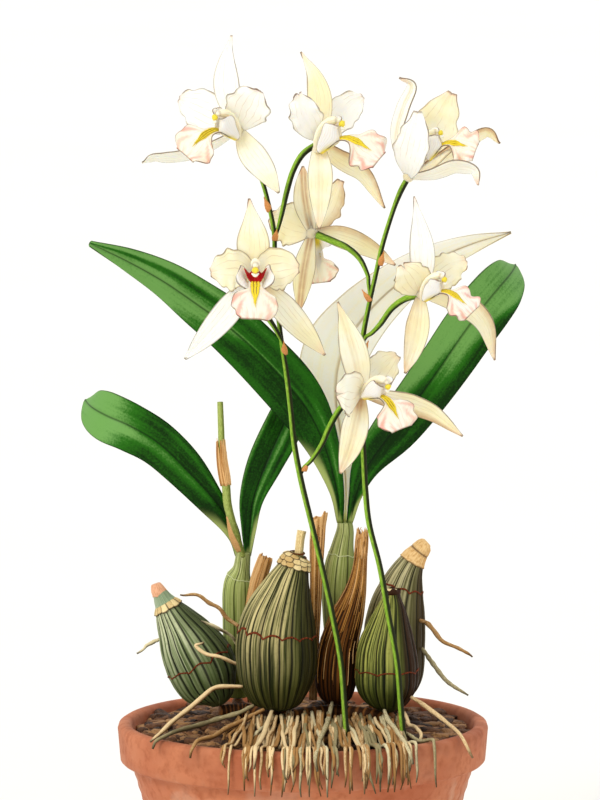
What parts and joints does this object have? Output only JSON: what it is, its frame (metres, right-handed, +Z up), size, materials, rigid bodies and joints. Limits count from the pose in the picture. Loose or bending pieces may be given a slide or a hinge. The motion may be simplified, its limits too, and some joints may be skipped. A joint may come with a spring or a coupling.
{
  "type": "potted laelia orchid",
  "caption": "Cream laelia orchid in flower with strap leaves, ribbed pseudobulbs and spreading roots, planted in bark in a plain clay pan.",
  "frame": {"origin": "middle of the pan's flat base, on the surface that it stands on", "axes": "+Z up, the front of the plant faces -Y, +X to the right as seen from the front"},
  "size_m": [0.1838, 0.1562, 0.3625],
  "materials": {
    "clay": "dry unglazed terracotta",
    "bark": "rough dry bark chips",
    "bulb_green": "satin ribbed skin",
    "bulb_pale": "satin ribbed skin",
    "dry_sheath": "dry papery fibre",
    "shoot_green": "satin skin",
    "leaf_green": "satin leathery leaf",
    "leaf_pale": "satin leathery leaf",
    "scape_green": "satin stem skin",
    "root_tan": "matt velamen",
    "petal_cream": "soft matt petal",
    "lip_blush": "soft matt petal",
    "column_cream": "soft waxy petal"
  },
  "bodies": {
    "root": {"pan": "clay", "bark_medium": "bark", "rhizome": "dry_sheath", "pseudobulb_centre": "bulb_green", "pseudobulb_left": "bulb_pale", "pseudobulb_right_front": "bulb_green", "pseudobulb_right_back": "bulb_green", "pseudobulb_sheathed": "dry_sheath", "shoot_left": "shoot_green", "shoot_right": "shoot_green", "sheath_tall": "dry_sheath", "stub_brown": "dry_sheath", "spike_old": "shoot_green", "leaf_long_left": "leaf_green", "leaf_right": "leaf_green", "leaf_pale_behind": "leaf_pale", "leaf_low_left": "leaf_green", "leaf_back_left": "leaf_green", "scape_left": "scape_green", "scape_right": "scape_green", "pedicel_2": "scape_green", "pedicel_3": "scape_green", "pedicel_4": "scape_green", "pedicel_6": "scape_green", "pedicel_7": "scape_green", "flower_1_tepals": "petal_cream", "flower_1_lip": "lip_blush", "flower_1_column": "column_cream", "flower_2_tepals": "petal_cream", "flower_2_lip": "lip_blush", "flower_2_column": "column_cream", "flower_3_tepals": "petal_cream", "flower_3_lip": "lip_blush", "flower_3_column": "column_cream", "flower_4_tepals": "petal_cream", "flower_4_lip": "lip_blush", "flower_4_column": "column_cream", "flower_5_tepals": "petal_cream", "flower_5_lip": "lip_blush", "flower_5_column": "column_cream", "flower_6_tepals": "petal_cream", "flower_6_lip": "lip_blush", "flower_6_column": "column_cream", "flower_7_tepals": "petal_cream", "flower_7_lip": "lip_blush", "flower_7_column": "column_cream", "root_left_1": "root_tan", "root_left_2": "root_tan", "root_left_3": "root_tan", "root_left_4": "root_tan", "root_left_5": "root_tan", "root_left_6": "root_tan", "root_left_7": "root_tan", "root_middle_1": "root_tan", "root_middle_2": "root_tan", "root_right_1": "root_tan", "root_right_2": "root_tan", "root_right_3": "root_tan", "root_right_4": "root_tan"}
  },
  "joints": []
}
